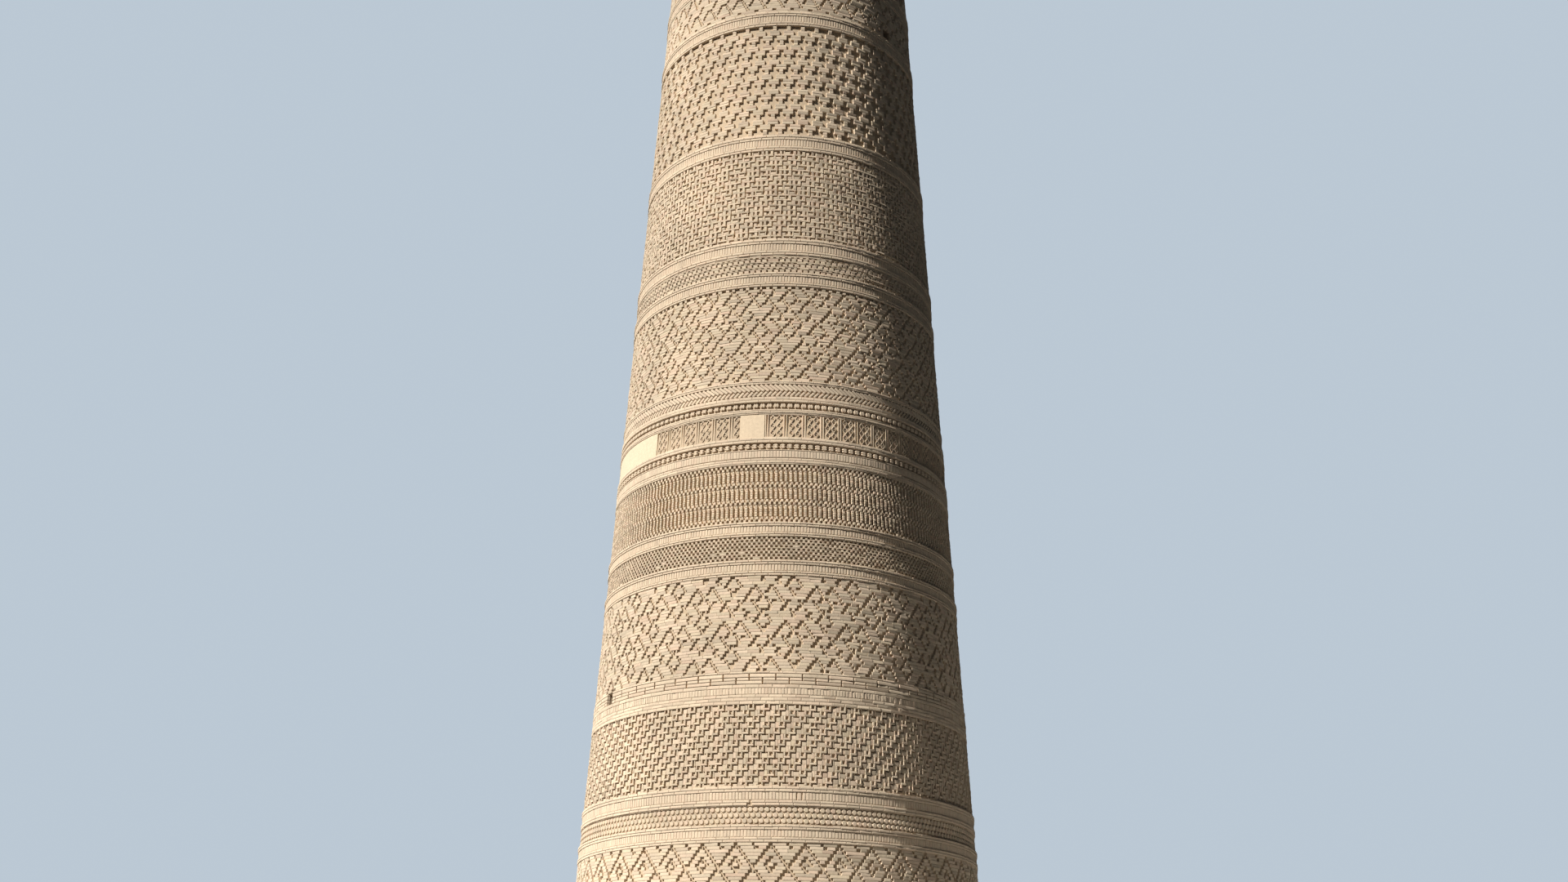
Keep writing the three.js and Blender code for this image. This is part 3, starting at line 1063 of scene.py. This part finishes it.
# Interlace band: long and short stairs of holes lean both ways and seem to pass under each other, as
# the largest figure on the shaft. Its bricks are laid with open joints, and it repeats eighteen times.
open_joint = 0.0024
interlace_strokes = [
    (0.0, 0, 7, 1), (7.6, -3, 7, 1), (4.1, 5, 5, 1), (-7.1, 4, 5, 1), (8.3, 4, 3, 1), (-4.0, 1, 3, 1),
    (6.0, 1, 3, 1), (-6.4, -2, 3, 1), (0.9, -5, 3, 1), (11.3, -5, 3, 1)]
interlace_holes = figure(18, 24, -23.3, 15, interlace_strokes, 0.8, mirror=4.9)
patterned("interlace_band", interlace_holes, 121, 35, gap=open_joint)


# Upper dotted band: rows of small upright holes and of flat ones take turns, half a repeat apart, and
# thin flat courses lie between them. Here too a few holes are stopped with mortar.
low, high = ring_heights("dotted_band_upper")
dash_count = 169
dash_unit = 0.0665
dash_units = 3
upright_width, flat_width = 0.55, 1.0
dash_foot = low + 0.006
dash_bricks = []
for unit in range(dash_units):
    foot = dash_foot + unit * dash_unit
    shift = unit % 2 * 180 / dash_count
    dash_bricks += dotted_row(foot, foot + 0.031, dash_count, upright_width, shift)
    dash_bricks += course_bricks(foot + 0.031, foot + 0.039, start=unit * 1.1)
    dash_bricks += dotted_row(foot + 0.039, foot + 0.054, dash_count, flat_width, shift + 90 / dash_count)
    dash_bricks += course_bricks(foot + 0.054, foot + dash_unit, start=unit * 2.1)
dash_bricks += course_bricks(low, dash_foot) + course_bricks(dash_foot + dash_units * dash_unit, high)
face = laid("dotted_band_upper_face", dash_bricks, wall_brick, seed=131)
dress("dotted_band_upper", [face], relief + 0.005)


# Maze band: rows of a thin flat course under a taller one, cut by pairs of a wide hole and an upright
# slot, with level dashes between them. Some slots run on through the flat course and join into stairs
# from row to row. Each row is set one cell further round than the row over it.
low, high = ring_heights("maze_band")
maze_repeats = 29
maze_rise = 0.0665
maze_start = -22.6
maze_bar = 0.019
maze_relief = 0.0175
maze_drop = 0.018
maze_scale = math.degrees(1 / shaft_radius((low + high) / 2))
hole, slot, stair, dash, plain = range(5)
maze_widths = {hole: 0.028, slot: 0.016, stair: 0.0125}
maze_rows = (
    (hole, slot, hole, stair, hole, slot, dash),
    (hole, stair, plain, dash, hole, stair, plain),
    (hole, slot, hole, stair, plain, hole, stair),
    (hole, stair, plain, hole, stair, plain, dash),
)
maze_cell = 360 / maze_repeats / len(maze_rows[0])
maze_bricks = []
for row in range(math.ceil((high - low) / maze_rise)):
    head = high - row * maze_rise
    foot = max(head - maze_rise, low)
    marks = maze_rows[row % len(maze_rows)]
    cuts, through, lids = [], [], []
    for cell in range(maze_repeats * len(marks)):
        turn = maze_start + (row + cell) * maze_cell
        mark = marks[cell % len(marks)]
        if mark in maze_widths:
            half = maze_widths[mark] / 2 * maze_scale
            cuts.append((turn - half, turn + half))
        if mark == stair:
            through.append(cuts[-1])
            lids.append((turn, turn + maze_cell))
        if mark == dash:
            lids.append((turn - maze_cell * 0.55, turn + maze_cell * 0.55))
    maze_bricks += course_bricks(foot, foot + maze_bar, through, start=row * 2.3)
    for begin, end in standing_runs(cuts):
        maze_bricks += block_under_lids(foot + maze_bar, head, begin, end, lids, drop=maze_drop)
dress("maze_band", [laid("maze_band_face", maze_bricks, wall_brick, seed=141)], maze_relief)


# Knotted band: rows two courses high of long bars and short knobs, laid with open joints. They overlap
# in threes, so that the deep gaps between them read as a slanting chain of hooks.
low, high = ring_heights("knotted_band")
knot_repeats = 60
knot_pitch = 360 / knot_repeats
knot_start = -35.6
knot_rise = 0.0695
knot_brick = 0.2
bar_turn, knob_turn = knot_pitch * 5 / 7, knot_pitch * 2 / 7
knot_rows = [(0, knob_turn), (0, bar_turn), (1, bar_turn), (1, knob_turn), (1, bar_turn), (0, bar_turn)]
knot_bricks = []
for row in range(math.ceil((high - low) / knot_rise - 0.4)):
    head = high - row * knot_rise
    foot = max(head - knot_rise, low)
    shifted, standing = knot_rows[row % len(knot_rows)]
    gaps = even_gaps(knot_repeats, knot_pitch - standing,
                     knot_start - shifted * knot_pitch / 2 + standing / 2)
    halfway = (foot + head) / 2
    knot_bricks += course_bricks(foot, halfway, gaps, long=knot_brick)
    knot_bricks += course_bricks(halfway, head, gaps, long=knot_brick)
knot_bricks += course_bricks(low, foot)
dress("knotted_band", [laid("knotted_band_face", knot_bricks, wall_brick, seed=151, gap=open_joint)])


# Diagonal band: single holes stand under slanting stairs of six, and thin lines lean back between
# them. A second light slit opens on the right.
upper_slit = (50, slit_width, 12.93, 13.06)
diagonal_repeats = 46
diagonal_first = -53.3
diagonal_step = 0.62
diagonal_holes = []
for index in range(diagonal_repeats):
    along = diagonal_first + index * 360 / diagonal_repeats
    diagonal_holes += [(1, along, 1.0), (1, along + 0.35, 1.0)]
    for lean in (1, -1):
        diagonal_holes += climb(along - lean * 2.2, 5, 6, diagonal_step, lean)
        diagonal_holes += climb(along - lean * 6.2, 14, 6, diagonal_step, lean)
    diagonal_holes += climb(along + 2.8, 9, 3, diagonal_step, 1)
patterned("diagonal_band", diagonal_holes, 161, 18, through=lambda height: slit_gap(*upper_slit, height),
          opening=slit_cutter(*upper_slit))


# Medallion band and upper frieze: the last of the shaft under the gallery. Large stepped lozenges
# stand side by side, drawn by holes in three outlines, and over them runs a plainer net of small ones.
medallions = 16
medallion_pitch = 360 / medallions
medallion_reach = 22
medallion_holes = []
for index in range(medallions):
    along = index * medallion_pitch
    for inset in (0, 4, 12):
        medallion_holes += lozenge(medallion_reach, along, medallion_reach - inset, 0.52)
    for corner in (8, 36):
        medallion_holes += lozenge(corner, along + medallion_pitch / 2, 3, 0.6)
patterned("medallion_band", medallion_holes, 171, 2 * medallion_reach + 1)

net_repeats = 48
net_holes = []
for index in range(net_repeats):
    for level, shift in ((4, 0), (10, 0.5), (16, 0)):
        net_holes += lozenge(level, (index + shift) * 360 / net_repeats, 3, 0.8)
patterned("upper_frieze", net_holes, 172, 21)


# Lower cornice: three tiers of small pointed niches, cut and moulded in brick, carry the gallery out
# over the shaft. Each tier steps out on the legs of its niches and ends in two thin flat courses, and
# its niches stand over the gaps between those of the tier below.
def niche_block():
    """One niche as a unit block: a pointed hood on two legs that slope back to the tier below."""
    arch = [(0.34, -0.5), (0.34, -0.10), (0.29, 0.10), (0.17, 0.25), (0.0, 0.36)]
    border = [(0.5, -0.5), (0.5, -0.10), (0.5, 0.16), (0.5, 0.5), (0.0, 0.5)]
    shape = bmesh.new()
    for side in (1, -1):
        sheets = []
        for line in (arch, border):
            sheets.append([shape.verts.new((side * x, -0.5 + 1.55 * max(0.0, 0.10 - z) ** 1.3, z))
                           for x, z in line])
            sheets.append([shape.verts.new((side * x, 0.5, z)) for x, z in line])
        inner, inner_back, outer, outer_back = sheets
        for index in range(len(arch) - 1):
            after = index + 1
            shape.faces.new((inner[index], inner[after], outer[after], outer[index]))
            shape.faces.new((inner_back[index], outer_back[index], outer_back[after], inner_back[after]))
            shape.faces.new((inner[index], inner_back[index], inner_back[after], inner[after]))
            shape.faces.new((outer[index], outer[after], outer_back[after], outer_back[index]))
        shape.faces.new((inner[0], outer[0], outer_back[0], inner_back[0]))
    bmesh.ops.remove_doubles(shape, verts=shape.verts, dist=1e-5)
    bmesh.ops.recalc_face_normals(shape, faces=shape.faces)
    return as_object("niche_block", shape)


def niche_tree():
    """Sets one niche block on each point."""
    tree, given = tree_with("set_niches", Niche="Object")
    block = add_node(tree, "GeometryNodeObjectInfo", {"Object": given["Niche"]})
    return finish_tree(tree, given, on_points(tree, given, block.outputs["Geometry"])[0])


niche_setting = niche_tree()
niche_shape = niche_block()
niche_fillet = 0.030


def cornice(node, inner, start, reach, tiers, count, seed):
    """A cornice of niche tiers from one radius out to another, in place of its plain solid."""
    low, high = ring_heights(node)
    rise = (high - low) / tiers
    step = (reach - start) / tiers
    tall = rise - 2 * niche_fillet
    niches, fillets, outline = [], [], [(inner, high), (inner, low)]
    for tier in range(tiers):
        foot = low + tier * rise
        head = foot + tall
        back = start + tier * step - 0.004
        face = back + step + 0.002
        deep = face - back + 0.012
        outline += [(back, foot), (back, foot + rise)]
        width = 2 * face * math.tan(math.pi / count)
        for index in range(count):
            turn = math.radians((index + tier % 2 / 2) * 360 / count)
            niches.append(brick_at(turn, face, foot + tall / 2, width, deep, tall))
        fillets += course_bricks(head, head + niche_fillet, start=tier * 1.7, face=face + 0.004, depth=deep)
        fillets += course_bricks(head + niche_fillet, foot + rise, start=tier * 2.9, face=face + 0.010,
                                 depth=deep)
    hoods = grown(node + "_niches", niche_setting, niches, pale_brick, seed, Niche=niche_shape)
    courses = laid(node + "_courses", fillets, pale_brick, seed=seed + 1, unevenness=0.0007)
    dress(node, [hoods, courses], outline=outline)


cornice("lower_cornice", hollow_radius, shaft_radius(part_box("lower_cornice")[0].z), 1.75, 3, 48, 201)


# Gallery floor: a thick ring of brick on the lower cornice, edged with bricks on end between flat
# courses, and paved in rings round the head of the shaft.
skin_proud = 0.005
skin_depth = 0.03
edge_course = 0.03
paving_ring = 0.112
lantern_outer, lantern_inner = 1.55, 1.3


def skin_course(low, high, gaps=(), radius=lantern_outer, extra=0.0, depth=skin_depth, **others):
    """A course of the thin facing on a wall above the shaft, a little more proud by the extra."""
    return course_bricks(low, high, gaps, face=radius + skin_proud + extra, depth=depth, **others)


def edged_floor(low, high, edge, rings):
    """A floor's edge, and rings of paving, each with its outer radius and its first joint."""
    found = skin_course(low, low + edge_course, radius=edge)
    found += skin_course(low + edge_course, high - edge_course, radius=edge, extra=-0.003,
                         long=soldier_width)
    for face, start in rings:
        found += course_bricks(high - edge_course, high + 0.003, start=start, face=face, depth=paving_ring)
    return found


gallery_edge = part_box("gallery_floor")[1].x
paving_faces = [gallery_edge + skin_proud - index * paving_ring for index in range(3)]
paving_faces += [lantern_inner - index * paving_ring for index in range(5)]
gallery_bricks = edged_floor(*ring_heights("gallery_floor"), gallery_edge,
                             [(face, face * 40) for face in paving_faces])
skin("gallery_floor_skin", "gallery_floor", gallery_bricks, pale_brick, core_brick_painted_shade, "course_brick", seed=211)


# Lantern parapet: a low wall round the gallery, laid in level courses with a brick coping as deep as
# the wall. The piers stand on it.
low, high = ring_heights("lantern_parapet")
parapet_courses = 8
coping_depth = 0.262
each = (high - low) / parapet_courses
parapet_bricks = []
for course in range(parapet_courses - 1):
    parapet_bricks += skin_course(low + course * each, low + (course + 1) * each, start=course * 3.7)
parapet_bricks += skin_course(high - each, high + 0.003, extra=0.004, depth=coping_depth,
                              start=(parapet_courses - 1) * 3.7)
skin("lantern_parapet_skin", "lantern_parapet", parapet_bricks, wall_brick, core_brick_painted_shade, seed=221)


# Lantern piers: sixteen square piers of brick, bonded with two bricks to the face and two or three to
# each side, that carry the ring of arches.
pier_half_turn = math.radians(4.4)
bays = 16
bay_turn = 2 * math.pi / bays
pier_deep = lantern_outer - lantern_inner


def pier_bricks(turn, low, high):
    """The bricks on the outer face and both sides of one pier."""
    courses = round((high - low) / course_height)
    each = (high - low) / courses
    begin, end = math.degrees(turn - pier_half_turn), math.degrees(turn + pier_half_turn)
    found = []
    for course in range(courses):
        foot = low + course * each
        found += skin_course(foot, foot + each, [(end, begin + 360)], long=0.119 if course % 2 else 0.08)
        cuts = (0, 0.5, 1) if course % 2 else (0, 0.25, 0.75, 1)
        for side in (-1, 1):
            side_turn = turn + side * (pier_half_turn + math.pi / 2)
            for near, far in zip(cuts, cuts[1:]):
                reach = lantern_inner + pier_deep * (near + far) / 2
                found.append(brick_at(side_turn, skin_proud, foot + each / 2, pier_deep * (far - near),
                                      skin_depth, each, aside=-side * reach))
    return found


for index in range(bays):
    node = f"lantern_pier_{index + 1:02d}"
    bricks = pier_bricks((index + 0.5) * bay_turn, *ring_heights(node))
    skin(node + "_skin", node, bricks, wall_brick, core_brick_painted_shade, seed=230 + index)


# Lantern arches: a ring of wall with sixteen pointed arches, each edged with bricks set across the
# curve. Above their heads run two staggered rows of square holes between flat courses.
low, high = ring_heights("lantern_arches")
arch_half, arch_rise = 0.165, 0.31
curve_part = np.linspace(0, 1, 25)
curve_x = arch_half * ((1 - curve_part) ** 2 + 1.84 * curve_part * (1 - curve_part))
curve_z = low + arch_rise * (1.24 * curve_part * (1 - curve_part) + curve_part ** 2)
edging_width, edging_deep, edging_thick, edging_steps = 0.046, 0.06, 0.031, 11
wall_courses = 14
arch_bricks = []
for course in range(wall_courses):
    foot = low + course * course_height
    gaps = []
    if foot < curve_z[-1]:
        half = float(np.interp(foot, curve_z, curve_x)) + edging_width * 0.6
        wide = math.degrees(math.asin(half / lantern_outer))
        gaps = even_gaps(bays, 2 * wide, -wide)
    arch_bricks += skin_course(foot, foot + course_height, gaps, start=course * 3.7)
fillet = 0.03
hole_count, hole_turn, hole_shift = 112, 1.3, 1.6
frieze_foot = low + wall_courses * course_height
for foot, head, gaps, extra in (
        (frieze_foot, frieze_foot + fillet, [], 0.010),
        (frieze_foot + fillet, frieze_foot + 2 * fillet, even_gaps(hole_count, hole_turn), 0.004),
        (frieze_foot + 2 * fillet, high - 2 * fillet, even_gaps(hole_count, hole_turn, hole_shift), 0.004),
        (high - 2 * fillet, high - fillet, [], 0.008), (high - fillet, high, [], 0.014)):
    arch_bricks += skin_course(foot, head, gaps, extra=extra, depth=skin_depth + extra, start=extra * 100)
skin("lantern_arches_skin", "lantern_arches", arch_bricks, wall_brick, core_brick_painted_shade, seed=251)
edging = []
for bay in range(bays):
    for step in range(edging_steps):
        middle = (step + 0.5) / edging_steps
        x, z = (float(np.interp(middle, curve_part, line)) for line in (curve_x, curve_z))
        next_x, next_z = (float(np.interp(middle + 0.03, curve_part, line)) for line in (curve_x, curve_z))
        slope = math.atan2(x - next_x, next_z - z)
        x += edging_width / 2 * math.cos(slope)
        z += edging_width / 2 * math.sin(slope)
        face = math.sqrt(lantern_outer ** 2 - x * x) + 0.016
        for side in (-1, 1):
            edging.append(brick_at(bay * bay_turn, face, z, edging_width, edging_deep, edging_thick,
                                   -side * slope, side * x))
skin("lantern_arch_edges", "lantern_arches", edging, pale_brick, core_brick_painted_shade, seed=252)


# Upper cornice: four tiers of niches like those under the gallery, cut and moulded in brick. They
# spread out from the heads of the arches to carry the rim and the roof.
cornice("upper_cornice", lantern_inner, 1.57, 1.975, 4, 52, 261)
bpy.data.objects.remove(niche_shape)


# Cornice rim: bricks on end between flat courses close the head of the wall, and a paved ledge runs
# round inside their edge.
rim_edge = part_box("cornice_rim")[1].x
rim_bricks = edged_floor(*ring_heights("cornice_rim"), rim_edge,
                         [(rim_edge + 0.008 - index * paving_ring, index * 1.7) for index in range(3)])
skin("cornice_rim_skin", "cornice_rim", rim_bricks, pale_brick, core_brick_painted_shade, "course_brick", seed=271)


# Roof: a low cone of brick, laid in rings that step inwards, with a short drum and a point on its head,
# all bedded in earth mortar.
def stepped_cone(low, high, foot_radius, head_radius, long):
    """Rings of brick whose faces follow a cone, each a step in from the one under it."""
    courses = round((high - low) / course_height)
    each = (high - low) / courses
    found = []
    for course in range(courses):
        face = foot_radius + (head_radius - foot_radius) * (course + 0.5) / courses + 0.008
        found += course_bricks(low + course * each, low + (course + 1) * each, start=course * 23.0,
                               face=face, depth=min(0.075, face * 0.8), long=long)
    return found


cone_bricks = stepped_cone(*ring_heights("roof_cone"), 1.675, 0.5, brick_length)
skin("roof_cone_skin", "roof_cone", cone_bricks, wall_brick, mud_render, "render", seed=281)
drum_radius, drum_top, point_radius = 0.425, 22.15, 0.06
low, high = ring_heights("roof_tip")
tip_bricks = stepped_cone(low, drum_top, drum_radius, drum_radius, 0.1)
tip_bricks += stepped_cone(drum_top, high - 0.02, drum_radius, point_radius, 0.09)
skin("roof_tip_skin", "roof_tip", tip_bricks, wall_brick, mud_render, "render", seed=282)
